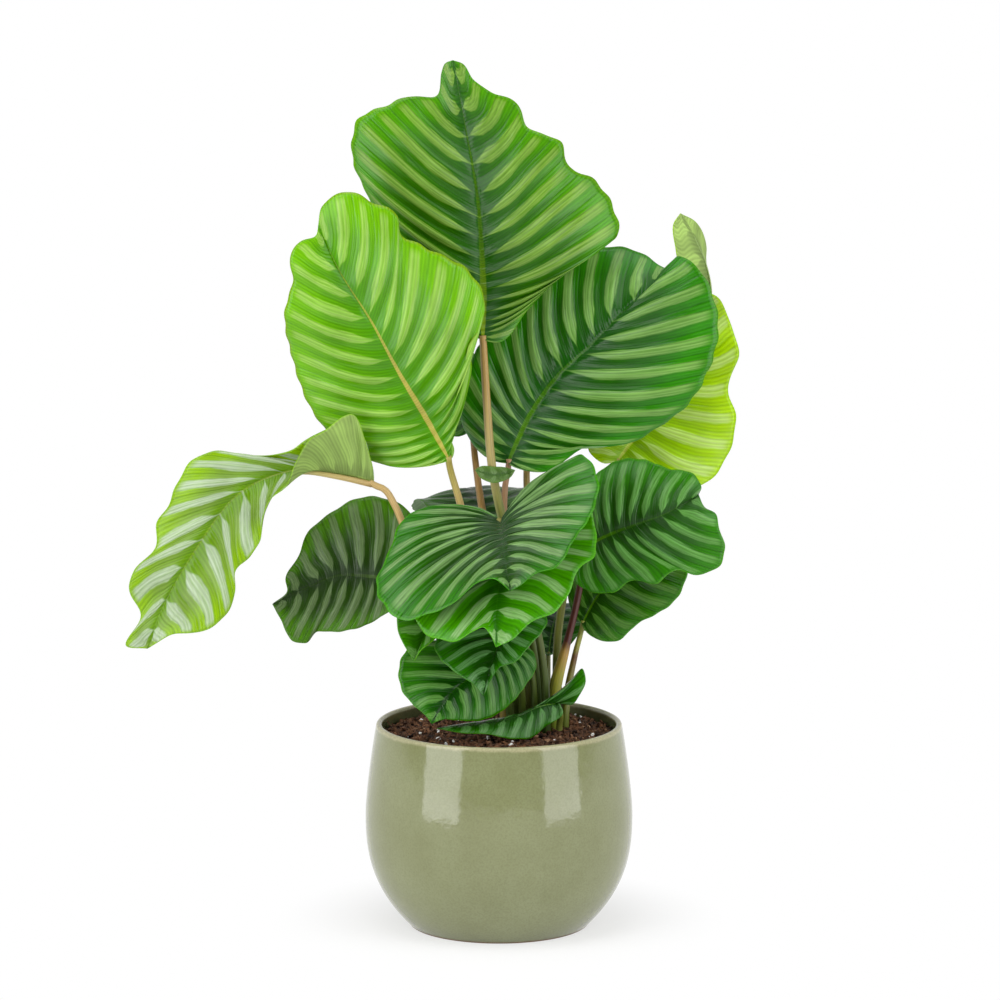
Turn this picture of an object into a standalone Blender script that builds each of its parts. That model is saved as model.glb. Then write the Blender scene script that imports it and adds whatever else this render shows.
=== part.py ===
"""Calathea orbifolia in a glazed pot: pot, potting mix, and a stalk and a blade for every leaf.

Lengths are in millimetres in the tables below and become metres through MM.
The pot stands on z = 0 with its axis on Z; -Y is the front of the plant.
"""
import math

import bmesh
import bpy
from mathutils import Vector

MM = 0.001
COLLECTION = "potted_calathea"
GAP = 0.3                # running gap between pieces that touch
SEAT_GAP = 0.5           # the same between a stalk's end and the hollow under a blade's base

# Pot: turned stoneware, widest a little over half its height
POT_HEIGHT = 206.5
RIM_RADIUS = 123.4
SHOULDER_CURVE = 1.4     # how late the wall turns in above the belly
BELLY_RADIUS = 134.8
BELLY_HEIGHT = 114.0
HIP_CURVE = 2.65         # how low the wall turns in below it
HIP_RADIUS = 92.9        # where the wall meets the foot ring
FOOT_RADIUS = 90.5
FOOT_RING = 3.0
WALL = 6.5
FLOOR = 9.0
FLOOR_CORNER = 8.0       # the slope between the floor and the inner wall
POT_STEPS = 32
WALL_STEPS = 14
LIP_STEPS = 6
MIX_DEPTH = 13.0         # top of the potting mix below the rim
MIX_TOP = POT_HEIGHT - MIX_DEPTH
MIX_INSET = 1.2          # clears the flats of the turned wall
MIX_STEPS = 6

# Blades: a sheet bent over its veins
BLADE_THICKNESS = 1.2
BLADE_ROWS = 10          # vein to vein, from base to tip
BLADE_COLUMNS = 6        # margin to margin
RIB_STEP = 0.02          # the midrib's direction is read over this share of it
FIRST_VEIN = 0.03        # the outline closes to a point at 0 and 1
LAST_VEIN = 0.985
BASE_VEIN = 0.05         # a vein near the base, where the blade's face is read
BASE_REACH = 0.3         # how far out along it
STALK_STEPS = 7
STALK_TIP_RADIUS = 2.0
STALK_RISE = 8.0         # each stalk leaves the mix upright
STALK_FOOT_SHARE = 0.02

LIME = (0.27, 0.50, 0.03)
MID_GREEN = (0.06, 0.26, 0.03)
DARK_GREEN = (0.03, 0.16, 0.03)
STALK_GREEN = (0.30, 0.30, 0.06)
STALK_BROWN = (0.32, 0.16, 0.06)
GLAZE = (0.27, 0.32, 0.16)
PEAT = (0.06, 0.03, 0.02)

# Each leaf: its midrib from base to tip, then its two margins between the same two points, as
# seen from above looking towards the tip. The stalk runs from the mix up to the blade's base.
# lag: how far the veins lean towards the tip; bow: how much they arch; dome: how much each half
# swells (+) or hollows (-) between midrib and margin, as a share of the half's width.
LEAVES = (
    dict(name="crown_leaf", colour=MID_GREEN, lag=2.1, bow=0.17, dome=0.05,
         rib=((-16, 12, 594), (-16, 25, 642), (-21, 45, 730), (-33, 50, 799), (-46, 45, 869)),
         left=((-44, 25, 602), (-93, 45, 654), (-132, 45, 735), (-146, 40, 773), (-139, 40, 812),
               (-112, 45, 824), (-93, 50, 832), (-61, 55, 834), (-57, 50, 857), (-53, 47, 866)),
         right=((-3, 15, 590), (31, 35, 623), (61, 50, 652), (101, 60, 680), (119, 58, 692),
                (117, 54, 714), (92, 50, 752), (70, 48, 762), (62, 47, 786), (28, 48, 803),
                (17, 48, 827), (-6, 48, 836), (-25, 48, 849), (-37, 46, 866)),
         stalk=((41, 20), (38, 19, 260), (20, 14, 345), (4, 8, 410), (-6, 6, 460), (-12, 6, 530)),
         thick=(6.5, 5.5, 4.6, 4.2)),
    dict(name="upper_left_leaf", colour=LIME, lag=1.9, bow=0.18, dome=0.05,
         rib=((-49, -15, 476), (-66, -22, 508), (-95, -32, 559), (-126, -38, 618),
              (-157, -38, 668), (-178, -30, 712)),
         left=((-69, -14, 472), (-104, -8, 468), (-153, -5, 487), (-186, -8, 526),
               (-206, -20, 583), (-211, -35, 630), (-203, -40, 660), (-205, -45, 685),
               (-195, -40, 698), (-180, -33, 703)),
         right=((-45, -8, 483), (-52, -5, 506), (-37, -15, 539), (-27, -25, 573), (-31, -30, 591),
                (-19, -30, 611), (-14, -32, 636), (-29, -35, 666), (-75, -38, 694),
                (-97, -40, 706), (-100, -42, 724), (-124, -42, 736), (-146, -40, 747),
                (-174, -32, 731)),
         stalk=((18, 19), (14, 17, 240), (-6, 12, 300), (-28, 4, 370), (-38, -2, 427)),
         thick=(5.0, 4.5, 4.2, 3.8)),
    dict(name="upper_right_leaf", colour=DARK_GREEN, lag=1.9, bow=0.17, dome=0.05,
         rib=((9, 22, 467), (31, 35, 515), (57, 42, 551), (92, 42, 584), (122, 38, 616),
              (147, 35, 638), (169, 45, 660)),
         left=((-12, 32, 471), (-34, 40, 497), (-40, 42, 523), (-32, 48, 553), (-23, 54, 576),
               (11, 65, 611), (47, 80, 650), (87, 88, 673), (123, 85, 678), (148, 75, 670),
               (162, 60, 661)),
         right=((21, 18, 462), (46, 18, 459), (78, 22, 478), (98, 25, 488), (127, 25, 486),
                (158, 22, 503), (192, 18, 530), (213, 12, 573), (216, 12, 623), (202, 20, 660),
                (179, 32, 674)),
         stalk=((38, 33), (37, 33, 280), (24, 31, 350), (6, 28, 405), (6, 26, 440)),
         thick=(6.0, 4.6, 4.0, 3.4)),
    dict(name="right_back_leaf", colour=LIME, lag=1.7, bow=0.12, dome=0.06,
         rib=((120, 95, 457), (154, 110, 504), (192, 120, 558), (214, 116, 616), (207, 104, 664),
              (183, 90, 711)),
         left=((106, 90, 456), (92, 92, 467), (103, 105, 498), (134, 125, 567), (180, 136, 630),
               (210, 122, 668), (200, 104, 700)),
         right=((144, 85, 439), (184, 85, 427), (210, 90, 435), (235, 100, 468), (241, 108, 502),
                (233, 112, 529), (244, 112, 565), (234, 112, 598), (222, 98, 624),
                (192, 84, 640), (178, 80, 676), (176, 84, 702)),
         stalk=((60, 36), (60, 40, 290), (74, 58, 360), (100, 82, 420)),
         thick=(5.5, 4.2, 3.8, 3.4)),
    dict(name="arching_leaf", colour=LIME, lag=1.8, bow=0.10, dome=0.03,
         rib=((-125, -14, 454), (-149, -20, 461), (-173, -26, 466), (-199, -32, 469),
              (-220, -35, 465), (-245, -36, 455), (-264, -38, 441), (-280, -38, 422),
              (-297, -40, 397), (-316, -42, 367), (-335, -42, 331), (-350, -42, 290)),
         left=((-126, -24, 472), (-131, -32, 492), (-147, -42, 525), (-170, -48, 512),
               (-189, -54, 501), (-201, -56, 480), (-211, -58, 456), (-226, -56, 443),
               (-234, -54, 423), (-237, -52, 400), (-246, -50, 386), (-262, -52, 369),
               (-262, -52, 349), (-273, -54, 324), (-294, -54, 310), (-324, -50, 306)),
         right=((-128, -15, 474), (-139, -20, 504), (-166, -24, 510), (-195, -26, 497),
                (-207, -26, 489), (-234, -24, 482), (-261, -24, 482), (-284, -26, 485),
                (-304, -28, 478), (-321, -30, 453), (-330, -32, 431), (-341, -34, 414),
                (-340, -36, 394), (-362, -38, 369), (-368, -40, 355), (-357, -40, 322),
                (-372, -38, 292)),
         stalk=((6, 19), (4, 18, 230), (-30, 8, 290), (-68, -2, 350), (-94, -10, 406),
                (-104, -12, 430), (-114, -13, 446)),
         thick=(5.0, 4.6, 4.2, 3.8)),
    dict(name="left_mid_leaf", colour=DARK_GREEN, lag=1.8, bow=0.14, dome=0.06,
         rib=((-100, 15, 349), (-125, 20, 351), (-160, 25, 352), (-196, 22, 339), (-228, 12, 325)),
         left=((-94, 6, 330), (-113, 5, 317), (-139, 8, 302), (-164, 8, 297), (-184, 8, 297),
               (-195, 5, 286), (-208, 5, 289), (-219, 8, 309)),
         right=((-88, 25, 383), (-90, 35, 415), (-115, 40, 428), (-138, 42, 429), (-170, 40, 413),
                (-197, 35, 386), (-200, 30, 375), (-215, 22, 347), (-213, 18, 338)),
         stalk=((12, 31), (6, 30, 230), (-25, 26, 285), (-70, 26, 328)),
         thick=(5.0, 4.2, 3.8, 3.2)),
    dict(name="front_leaf", colour=DARK_GREEN, lag=2.4, bow=0.17, dome=0.06,
         rib=((1, -30, 418), (2, -60, 415), (4, -100, 405), (7, -135, 389), (11, -168, 372)),
         left=((32, -25, 433), (47, -12, 461), (82, -15, 480), (99, -40, 458), (92, -65, 436),
               (76, -95, 411), (58, -125, 389), (35, -148, 386), (20, -162, 376)),
         right=((-22, -25, 429), (-64, -22, 432), (-92, -35, 419), (-108, -60, 395),
                (-122, -85, 368), (-112, -108, 344), (-94, -120, 331), (-71, -128, 342),
                (-45, -138, 356), (-18, -150, 378), (-4, -160, 382)),
         stalk=((29, 19), (28, 14, 260), (20, 2, 330), (8, -7, 390), (4, -16, 409)),
         thick=(5.0, 4.4, 4.0, 3.4)),
    dict(name="second_front_leaf", colour=MID_GREEN, lag=2.2, bow=0.14, dome=0.06,
         rib=((6, -27, 392), (3, -60, 385), (0, -95, 365), (-3, -125, 338), (-3, -146, 312)),
         left=((26, -24, 400), (58, -30, 422), (90, -34, 430), (96, -50, 409), (93, -75, 391),
               (78, -95, 379), (72, -105, 363), (59, -115, 345), (30, -128, 333),
               (15, -136, 319)),
         right=((-14, -24, 396), (-48, -35, 389), (-73, -70, 365), (-83, -100, 340),
                (-76, -115, 323), (-57, -125, 317), (-42, -130, 315), (-26, -135, 325),
                (-15, -138, 330), (-8, -142, 323)),
         stalk=((48, 7), (46, 2, 250), (34, -8, 320), (16, -18, 370)),
         thick=(4.6, 4.2, 3.8, 3.2)),
    dict(name="left_low_leaf", colour=MID_GREEN, lag=1.7, bow=0.12, dome=0.04,
         rib=((-20, -30, 345), (-48, -48, 338), (-70, -70, 315), (-84, -90, 287)),
         left=((-18, -45, 334), (-38, -70, 322), (-60, -90, 312), (-76, -98, 300)),
         right=((-45, -22, 345), (-82, -38, 345), (-101, -62, 328), (-98, -80, 310)),
         stalk=((12, 7), (6, 2, 250), (-2, -6, 300), (-12, -20, 332)),
         thick=(4.2, 3.8, 3.4, 3.0)),
    dict(name="low_front_leaf", colour=DARK_GREEN, lag=2.2, bow=0.14, dome=0.06,
         rib=((6, -35, 325), (0, -70, 302), (-9, -92, 279), (-15, -107, 255)),
         left=((28, -30, 328), (48, -48, 322), (42, -62, 310), (30, -72, 298), (16, -82, 285),
               (1, -92, 281), (-9, -101, 268)),
         right=((-20, -36, 322), (-50, -50, 312), (-64, -68, 300), (-57, -80, 286),
                (-40, -90, 273), (-26, -97, 266)),
         stalk=((36, 7), (34, 2, 250), (24, -8, 295), (13, -23, 314)),
         thick=(4.0, 3.6, 3.2, 2.8)),
    dict(name="rim_leaf", colour=MID_GREEN, lag=2.0, bow=0.14, dome=0.07,
         rib=((14, -24, 292), (-4, -45, 280), (-28, -60, 265), (-50, -72, 248), (-67, -82, 222)),
         left=((34, -27, 283), (37, -36, 270), (28, -46, 256), (14, -56, 239), (-4, -63, 227),
               (-21, -68, 222), (-41, -75, 224), (-56, -80, 226)),
         right=((-8, -18, 292), (-48, -26, 292), (-86, -46, 296), (-100, -60, 273),
                (-97, -68, 255), (-85, -75, 240), (-71, -81, 228)),
         stalk=((24, 7), (22, -4, 250), (18, -15, 280)),
         thick=(4.0, 3.6, 3.2, 2.8)),
    dict(name="resting_leaf", colour=MID_GREEN, lag=1.5, bow=0.14, dome=0.08,
         rib=((60, -9, 228), (40, -18, 226), (19, -32, 219), (-19, -52, 216), (-62, -66, 214)),
         left=((64, -13, 219), (47, -24, 207), (30, -40, 198), (11, -52, 201), (-9, -60, 206),
               (-34, -66, 209)),
         right=((73, -8, 226), (81, -12, 236), (87, -10, 250), (84, -4, 262), (70, 0, 247),
                (52, -4, 231), (31, -10, 220), (1, -28, 216), (-29, -48, 216)),
         stalk=((61, 7), (62, 2, 212)),
         thick=(3.4, 3.2, 3.0, 2.6)),
    dict(name="right_mid_leaf", colour=DARK_GREEN, lag=1.9, bow=0.13, dome=0.05,
         rib=((86, 20, 382), (111, 12, 396), (141, 5, 409), (166, 0, 419), (183, 2, 428),
              (200, 15, 436)),
         left=((83, 25, 408), (93, 28, 448), (118, 25, 469), (147, 18, 471), (171, 10, 463),
               (194, 5, 459), (202, 7, 446)),
         right=((78, 18, 364), (77, 12, 348), (96, 5, 338), (116, -2, 340), (133, -8, 353),
                (156, -12, 350), (180, -8, 364), (196, -5, 358), (221, -5, 368), (226, -3, 383),
                (219, 0, 409), (217, 4, 418), (206, 9, 424)),
         stalk=((54, 21), (56, 22, 232), (67, 25, 276), (78, 31, 320), (84, 34, 352)),
         thick=(5.4, 6.4, 3.6, 3.4)),
    dict(name="right_low_leaf", colour=DARK_GREEN, lag=1.8, bow=0.13, dome=0.05,
         rib=((84, 38, 300), (100, 44, 328), (127, 47, 354), (158, 44, 371), (191, 32, 379)),
         left=((76, 42, 308), (70, 52, 327), (82, 60, 356), (122, 64, 382), (163, 54, 391)),
         right=((87, 34, 294), (99, 32, 285), (117, 30, 283), (140, 30, 301), (162, 30, 313),
                (182, 27, 332), (190, 27, 352)),
         stalk=((67, 25), (69, 28, 228), (77, 36, 268)),
         thick=(4.0, 4.0, 3.4, 2.8)),
    dict(name="back_mid_leaf", colour=DARK_GREEN, lag=1.5, bow=0.14, dome=0.06,
         rib=((-5, 60, 372), (-16, 95, 408), (-28, 135, 422), (-42, 180, 408), (-52, 208, 376)),
         left=((-30, 62, 378), (-62, 82, 404), (-82, 120, 412), (-90, 160, 400), (-76, 196, 380)),
         right=((20, 62, 380), (42, 88, 408), (36, 130, 424), (14, 172, 414), (-24, 204, 388)),
         stalk=((18, 43), (18, 46, 250), (8, 54, 320)),
         thick=(4.4, 4.2, 3.6, 3.2)),
    dict(name="back_low_leaf", colour=DARK_GREEN, lag=1.4, bow=0.13, dome=0.06,
         rib=((50, 62, 262), (56, 88, 292), (64, 120, 304), (76, 160, 292), (86, 186, 262)),
         left=((38, 66, 270), (28, 88, 296), (26, 122, 304), (44, 158, 290)),
         right=((66, 64, 268), (90, 84, 292), (108, 120, 298), (108, 156, 280)),
         stalk=((48, 47), (49, 50, 222)),
         thick=(3.8, 3.6, 3.2, 2.8)),
    dict(name="back_left_leaf", colour=DARK_GREEN, lag=1.5, bow=0.14, dome=0.06,
         rib=((-22, 56, 302), (-52, 84, 330), (-86, 112, 340), (-122, 138, 326),
              (-146, 152, 296)),
         left=((-34, 50, 296), (-66, 62, 310), (-106, 84, 314), (-140, 118, 304)),
         right=((-16, 66, 312), (-28, 100, 340), (-62, 138, 350), (-108, 160, 334)),
         stalk=((6, 43), (2, 44, 226), (-12, 50, 272)),
         thick=(4.2, 4.0, 3.4, 3.0)),
    dict(name="upper_back_leaf", colour=MID_GREEN, lag=1.5, bow=0.13, dome=0.05,
         rib=((30, 62, 478), (36, 94, 520), (44, 126, 560), (52, 154, 586), (60, 182, 594)),
         left=((14, 68, 482), (-10, 92, 512), (-12, 128, 560), (10, 160, 596), (38, 182, 602)),
         right=((48, 64, 476), (78, 84, 500), (96, 118, 536), (98, 152, 566), (84, 180, 584)),
         stalk=((31, 46), (32, 46, 320), (29, 47, 420), (28, 52, 455)),
         thick=(5.4, 4.6, 4.0, 3.6)),
    dict(name="back_high_leaf", colour=MID_GREEN, lag=1.5, bow=0.13, dome=0.05,
         rib=((-27, 62, 494), (-46, 100, 528), (-72, 142, 548), (-100, 184, 540),
              (-118, 208, 516)),
         left=((-40, 62, 488), (-72, 82, 504), (-104, 116, 518), (-126, 156, 518),
               (-132, 192, 508)),
         right=((-14, 70, 502), (-12, 104, 538), (-34, 150, 566), (-74, 192, 556)),
         stalk=((25, 31), (18, 34, 260), (0, 37, 340), (-17, 39, 418), (-24, 46, 468)),
         thick=(5.0, 4.8, 4.4, 3.6)),
)


def vec(point):
    return Vector(point) * MM


def along(points, share):
    """A point on the smooth curve through the points, by its share of the way from the first."""
    spans = [(b - a).length for a, b in zip(points, points[1:])]
    way = share * sum(spans)
    i = 0
    while i < len(spans) - 1 and way > spans[i]:
        way -= spans[i]
        i += 1
    t = min(max(way / spans[i], 0.0), 1.0)
    start, end = points[i], points[i + 1]
    out = slope(points, spans, i) * spans[i]
    back = slope(points, spans, i + 1) * spans[i]
    t2, t3 = t * t, t * t * t
    return (start * (2 * t3 - 3 * t2 + 1) + out * (t3 - 2 * t2 + t)
            + end * (3 * t2 - 2 * t3) + back * (t3 - t2))


def slope(points, spans, i):
    """The curve's direction at point i, for a unit of length."""
    if i == 0:
        return (points[1] - points[0]) / spans[0]
    if i == len(points) - 1:
        return (points[-1] - points[-2]) / spans[-1]
    before = (points[i] - points[i - 1]) / spans[i - 1]
    after = (points[i + 1] - points[i]) / spans[i]
    return (before * spans[i] + after * spans[i - 1]) / (spans[i] + spans[i - 1])


def material(name, colour, roughness):
    mat = bpy.data.materials.new(name)
    mat.use_nodes = True
    shader = mat.node_tree.nodes["Principled BSDF"]
    shader.inputs["Base Color"].default_value = (*colour, 1.0)
    shader.inputs["Roughness"].default_value = roughness
    shader.inputs["Metallic"].default_value = 0.0
    mat.diffuse_color = (*colour, 1.0)
    return mat


def place(obj, mat):
    bpy.data.collections[COLLECTION].objects.link(obj)
    obj.data.materials.append(mat)
    return obj


def turned(name, profile, mat):
    """A closed (radius, height) profile turned about Z, run so that its solid is on the right."""
    mesh = bpy.data.meshes.new(name)
    bm = bmesh.new()
    verts = [bm.verts.new((radius * MM, 0.0, height * MM)) for radius, height in profile]
    for a, b in zip(verts, verts[1:]):
        bm.edges.new((a, b))
    bm.to_mesh(mesh)
    bm.free()
    obj = place(bpy.data.objects.new(name, mesh), mat)
    screw = obj.modifiers.new("turn", "SCREW")
    screw.axis = "Z"
    screw.steps = screw.render_steps = POT_STEPS
    screw.use_merge_vertices = True
    screw.merge_threshold = 0.00005
    return obj


def wall_radius(height, inset=0.0):
    """Outer radius of the pot's wall at a height, less an inset."""
    if height > BELLY_HEIGHT:
        rise = (height - BELLY_HEIGHT) / (POT_HEIGHT - BELLY_HEIGHT)
        return BELLY_RADIUS - (BELLY_RADIUS - RIM_RADIUS) * rise ** SHOULDER_CURVE - inset
    drop = (BELLY_HEIGHT - height) / (BELLY_HEIGHT - FOOT_RING)
    return BELLY_RADIUS - (BELLY_RADIUS - HIP_RADIUS) * drop ** HIP_CURVE - inset


def build_pot():
    lip = WALL / 2
    crown = POT_HEIGHT - lip
    middle = wall_radius(crown) - lip
    turns = [math.pi * k / LIP_STEPS for k in range(LIP_STEPS, -1, -1)]
    lip_arc = [(middle + lip * math.cos(a), crown + lip * math.sin(a)) for a in turns]
    shares = [(1 - math.cos(math.pi * k / WALL_STEPS)) / 2 for k in range(1, WALL_STEPS)]
    heights = [FOOT_RING + (crown - FOOT_RING) * share for share in shares]
    outside = [(wall_radius(h), h) for h in reversed(heights)]
    inside = [(wall_radius(h, WALL), h) for h in heights if h > FLOOR + WALL]
    corner = wall_radius(FLOOR + WALL, WALL) - FLOOR_CORNER
    foot = [(HIP_RADIUS, FOOT_RING), (FOOT_RADIUS, 0.0), (0.0, 0.0)]
    profile = [(0.0, FLOOR), (corner, FLOOR), *inside, *lip_arc, *outside, *foot]
    return turned("pot", profile, material("sage_glaze", GLAZE, 0.12))


def build_mix():
    low = FLOOR + WALL
    heights = [MIX_TOP + (low - MIX_TOP) * k / MIX_STEPS for k in range(MIX_STEPS)]
    side = [(wall_radius(h, WALL + MIX_INSET), h) for h in heights]
    corner = wall_radius(low, WALL + MIX_INSET) - FLOOR_CORNER
    profile = [(0.0, MIX_TOP), *side, (corner, FLOOR + GAP), (0.0, FLOOR + GAP)]
    return turned("potting_mix", profile, material("potting_mix", PEAT, 0.95))


def leaf_curves(leaf):
    """The midrib and both margins from base to tip, as vectors."""
    base, tip = leaf["rib"][0], leaf["rib"][-1]
    curves = {side: [vec(p) for p in (base, *leaf[side], tip)] for side in ("left", "right")}
    curves["rib"] = [vec(p) for p in leaf["rib"]]
    return curves


def blade_point(leaf, curves, u, v):
    """The point of a blade on vein u (0 base, 1 tip), v of the way out from the midrib."""
    rib = curves["rib"]
    share = u ** leaf["lag"]
    root = along(rib, share)
    ahead = along(rib, min(share + RIB_STEP, 1.0)) - along(rib, max(share - RIB_STEP, 0.0))
    ahead.normalize()
    margin = along(curves["right" if v >= 0 else "left"], u)
    across = along(curves["right"], u) - along(curves["left"], u)
    out = abs(v)
    reach = margin - root
    bend = root + reach / 2 - ahead * leaf["bow"] * reach.length
    face = across.cross(ahead).normalized()
    point = root * (1 - out) ** 2 + bend * 2 * out * (1 - out) + margin * out ** 2
    return point + face * leaf["dome"] * reach.length * math.sin(math.pi * out)


def build_blade(leaf):
    curves = leaf_curves(leaf)
    mesh = bpy.data.meshes.new(leaf["name"])
    bm = bmesh.new()
    bmesh.ops.create_grid(bm, x_segments=BLADE_COLUMNS, y_segments=BLADE_ROWS, size=1.0)
    for vert in bm.verts:
        u = FIRST_VEIN + (LAST_VEIN - FIRST_VEIN) * (vert.co.y + 1) / 2
        vert.co = blade_point(leaf, curves, u, vert.co.x)
    bm.to_mesh(mesh)
    bm.free()
    colour = material(leaf["name"], leaf["colour"], 0.35)
    obj = place(bpy.data.objects.new(leaf["name"], mesh), colour)
    sheet = obj.modifiers.new("sheet", "SOLIDIFY")
    sheet.thickness = BLADE_THICKNESS * MM
    sheet.offset = 0.0
    return obj


def seat(leaf, way):
    """Where a stalk that comes the given way ends: its end's upper edge is just under the base."""
    curves = leaf_curves(leaf)
    at = blade_point(leaf, curves, FIRST_VEIN, 0.0)
    right, left = [blade_point(leaf, curves, BASE_VEIN, v) for v in (BASE_REACH, -BASE_REACH)]
    across = right - left
    face = across.cross(blade_point(leaf, curves, 2 * BASE_VEIN, 0.0) - at).normalized()
    brow = (face - way * way.dot(face)).normalized() * STALK_TIP_RADIUS * MM
    return at - face * (BLADE_THICKNESS / 2 + SEAT_GAP) * MM - brow


def build_stalk(leaf):
    """A stalk from the mix to the blade's base, sheathed and thicker below."""
    name = leaf["name"].replace("_leaf", "_stalk")
    x, y = leaf["stalk"][0]
    foot = vec((x, y, MIX_TOP + GAP))
    base = vec(leaf["rib"][0])
    course = [foot, foot + vec((0, 0, STALK_RISE))] + [vec(p) for p in leaf["stalk"][1:]]
    course.append(seat(leaf, (base - course[-1]).normalized()))
    curve = bpy.data.curves.new(name, "CURVE")
    curve.dimensions = "3D"
    curve.bevel_depth = MM
    curve.bevel_resolution = 2
    curve.use_fill_caps = True
    spline = curve.splines.new("POLY")
    shares = [0.0, STALK_FOOT_SHARE] + [k / STALK_STEPS for k in range(1, STALK_STEPS + 1)]
    spline.points.add(len(shares) - 1)
    radii = [*leaf["thick"], STALK_TIP_RADIUS]
    for point, share in zip(spline.points, shares):
        point.co = (*along(course, share), 1.0)
        step = min(share * (len(radii) - 1), len(radii) - 1.0001)
        point.radius = radii[int(step)] + (radii[int(step) + 1] - radii[int(step)]) * (step % 1)
    colour = STALK_GREEN if leaf["colour"] is not LIME else STALK_BROWN
    return place(bpy.data.objects.new(name, curve), material(name, colour, 0.5))


def main():
    for obj in list(bpy.data.objects):
        bpy.data.objects.remove(obj, do_unlink=True)
    collection = bpy.data.collections.new(COLLECTION)
    bpy.context.scene.collection.children.link(collection)
    build_pot()
    build_mix()
    for leaf in LEAVES:
        build_blade(leaf)
        build_stalk(leaf)


main()
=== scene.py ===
"""The looks of a potted calathea: striped pleated leaves, jointed stalks, sage glaze and bark mix.

Lengths are in millimetres in the tables below and become metres through MM.
The pot stands on z = 0 with its axis on Z; -Y is the front of the plant.
"""
import math
import random

import bmesh
import bpy
from mathutils import Euler, Matrix, Vector


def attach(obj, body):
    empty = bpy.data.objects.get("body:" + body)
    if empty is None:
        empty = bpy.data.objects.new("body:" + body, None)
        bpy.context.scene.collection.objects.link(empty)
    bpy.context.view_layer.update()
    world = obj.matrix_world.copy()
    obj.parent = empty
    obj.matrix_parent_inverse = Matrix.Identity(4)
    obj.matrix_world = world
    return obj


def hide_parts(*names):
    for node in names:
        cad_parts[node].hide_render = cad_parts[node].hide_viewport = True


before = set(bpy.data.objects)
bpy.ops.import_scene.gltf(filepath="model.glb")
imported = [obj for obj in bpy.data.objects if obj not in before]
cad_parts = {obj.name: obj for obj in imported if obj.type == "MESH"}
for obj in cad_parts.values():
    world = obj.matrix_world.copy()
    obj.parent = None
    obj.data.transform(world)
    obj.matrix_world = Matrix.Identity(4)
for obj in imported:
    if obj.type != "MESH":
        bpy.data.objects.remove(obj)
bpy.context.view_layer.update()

MM = 0.001

# Pot, as turned
POT_HEIGHT = 206.5
RIM_RADIUS = 123.4
SHOULDER_CURVE = 1.4
BELLY_RADIUS = 134.8
BELLY_HEIGHT = 114.0
HIP_CURVE = 2.65
HIP_RADIUS = 92.9
FOOT_RADIUS = 90.5
FOOT_RING = 3.0
WALL = 6.5
FLOOR = 9.0
FLOOR_CORNER = 8.0
FOOT_CORNER = ((0.4, 0.6), (-0.6, 0.0))  # past the foot's radius, and height
POT_STEPS = 144
WALL_STEPS = 36
LIP_STEPS = 12
MIX_TOP = 193.5
MIX_RADIUS = 114.0

# Blades. Heights and depths are shares of the half's width there, from midrib to margin.
BLADE_THICKNESS = 0.7
ROWS_PER_STRIPE = 10
COLUMNS = 44
RIB_STEP = 0.02  # the midrib's direction is read over this share of its length
PLEAT = 0.020  # height of a pleat
PLEAT_SPREAD = 1.15  # pleats are flat again at one over this of the way out
RUFFLE = 0.030  # lift and fall of the margin
RUFFLE_WAVES = 3
SCALLOP = 0.007  # how far each pleat bulges the margin
GROOVE = 0.012  # depth of the groove over the midrib
GROOVE_WIDTH = 0.07
FIRST_VEIN = 0.03  # the stalk meets the blade here; 0 is its base, 1 its tip
BASE_VEIN = 0.05  # the blade's slope there is read at this vein
BASE_REACH = 0.3  # ... over this share of each half

# Stalks and midribs
TUBE_SIDES = 20
TUBE_ROWS = 60
TUBE_STEP = 0.01  # a tube's direction is read over this share of it
STALK_SINK = 1.0  # the foot starts this far under the top of the mix
STALK_RISE = 8.0  # and goes straight up this far
STALK_TIP_RADIUS = 2.0  # its axis ends this far under the blade
STALK_TIP_SHARE = 0.85  # the radius at the blade, as a share of the last in the table
STALK_END = (3.0, 1.2)  # the end runs on under the blade, and up towards it
RIDGES = 5
RIDGE_DEPTH = 0.035
MIDRIB_SIDES = 10
MIDRIB_ROWS = 48
MIDRIB_POINTS = 9
MIDRIB_REACH = 0.9
MIDRIB_TAPER = (1.0, 0.72, 0.48, 0.30, 0.12)
MERGE = 0.02  # points nearer than this become one

# Looks
FINE_VEINS = 7  # to a stripe, so about 2 mm apart
PATTERN_STEPS = (1.3, 0.7, 0.9)  # blade, stalk, midrib: moved on by this from leaf to leaf
# the pale band at the lip is thin glaze, lightened in part as a painted highlight
LIP_BAND = (4.0, 0.5)  # the glaze thins from here to here below the pot's top
LIP_WANDER = 3.0
BARE_FOOT = (1.2, 2.2)  # height at which the glaze starts, and at which it is whole

# Patterns: repeats in a metre
LEAF_CLOUDS = 24.0  # 42 mm each
GLAZE_CLOUDS = 22.0  # 45 mm
GLAZE_RUNS = (60.0, 60.0, 12.0)  # 17 mm across, 83 mm down
GLAZE_SPECKS = 520.0  # 2 mm
GLAZE_PEEL = 95.0  # 11 mm
CRUMB_PITS = 1400.0  # 0.7 mm

# Crumbs on the mix
CRUMB_SIZES = (0.45, 1.0)  # shares of the longest
CRUMB_SINK = 0.5  # how far below the top of the mix one may lie
CRUMB_TILT = 0.5  # radians
CRUMB_TURN = 6.3  # radians, about a whole turn
CRUMB_SHAPES = (0.7, 1.2)  # how much each size varies
CRUMB_JAGS = (0.7, 1.25)  # and each corner

# Setting, in metres
SOFTBOX = (0.86, 1.62)
LAMP_AIM = (0.0, 0.0, 0.40)
CAMERA_LENS = 182.6
CAMERA_PLACE = (0.001, -5.0, 1.277)
CAMERA_DIP = 9.58  # degrees below level
FLOOR_SIZE = 20.0
FLOOR_WHITE = (0.10, 0.24)  # from the pot's axis: the floor is pure white beyond the second

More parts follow.
